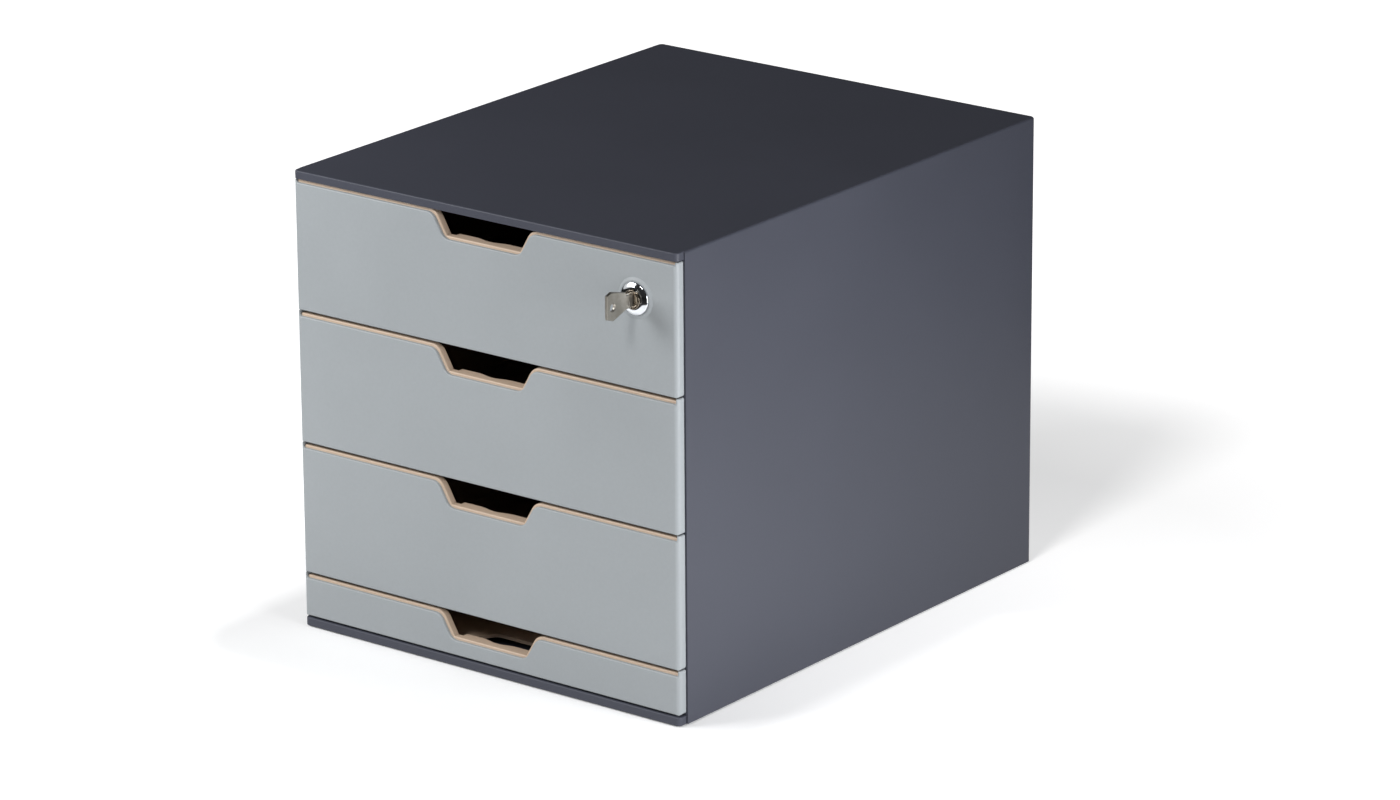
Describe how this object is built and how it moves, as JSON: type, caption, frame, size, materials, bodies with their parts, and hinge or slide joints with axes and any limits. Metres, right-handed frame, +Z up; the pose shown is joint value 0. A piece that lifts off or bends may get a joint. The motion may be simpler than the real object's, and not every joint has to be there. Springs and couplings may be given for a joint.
{
  "type": "drawer cabinet",
  "caption": "Desktop drawer cabinet with sliding trays, finger cut-outs in the fronts, and a cylinder lock with its key in the top drawer.",
  "frame": {"origin": "on the table, under the middle of the overall box: casing with its drawers shut and the key in the lock", "axes": "+X to the user's right, +Y from the drawer fronts to the back, +Z up"},
  "size_m": [0.288, 0.3822, 0.2867],
  "materials": {
    "casing_plastic": "fine matte charcoal",
    "front_plastic": "satin light grey",
    "tray_plastic": "satin beige",
    "foot_rubber": "matte",
    "screw_steel": "zinc plated",
    "catch_steel": "zinc plated",
    "nut_steel": "zinc plated",
    "lock_chrome": "polished",
    "plug_nickel": "satin nickel",
    "key_nickel": "satin nickel silver"
  },
  "bodies": {
    "casing": {"case_shell": "casing_plastic", "base_panel": "casing_plastic", "back_panel": "casing_plastic", "feet": "foot_rubber", "base_screws": "screw_steel", "back_screws": "screw_steel", "lock_catch": "catch_steel", "catch_screws": "screw_steel"},
    "drawer_1": {"drawer_front_1": "front_plastic", "drawer_tray_1": "tray_plastic", "front_screws_1": "screw_steel", "lock_housing": "lock_chrome", "lock_nut": "nut_steel"},
    "drawer_2": {"drawer_front_2": "front_plastic", "drawer_tray_2": "tray_plastic", "front_screws_2": "screw_steel"},
    "drawer_3": {"drawer_front_3": "front_plastic", "drawer_tray_3": "tray_plastic", "front_screws_3": "screw_steel"},
    "drawer_4": {"drawer_front_4": "front_plastic", "drawer_tray_4": "tray_plastic", "front_screws_4": "screw_steel"},
    "lock_barrel": {"lock_plug": "plug_nickel", "lock_cam": "catch_steel", "cam_screw": "screw_steel"},
    "key": {"key": "key_nickel"}
  },
  "joints": [
    {"name": "drawer_1_slide", "type": "slide", "parent": "casing", "child": "drawer_1", "axis": [0, -1, 0], "range_m": [0, 0.26]},
    {"name": "drawer_2_slide", "type": "slide", "parent": "casing", "child": "drawer_2", "axis": [0, -1, 0], "range_m": [0, 0.26]},
    {"name": "drawer_3_slide", "type": "slide", "parent": "casing", "child": "drawer_3", "axis": [0, -1, 0], "range_m": [0, 0.26]},
    {"name": "drawer_4_slide", "type": "slide", "parent": "casing", "child": "drawer_4", "axis": [0, -1, 0], "range_m": [0, 0.26]},
    {"name": "lock_turn", "type": "hinge", "parent": "drawer_1", "child": "lock_barrel", "pos_m": [0.1134, -0.1639, 0.2551], "axis": [0, 1, 0], "range_deg": [0, 90]},
    {"name": "key_pull", "type": "slide", "parent": "lock_barrel", "child": "key", "axis": [0, -1, 0], "range_m": [0, 0.022]}
  ]
}
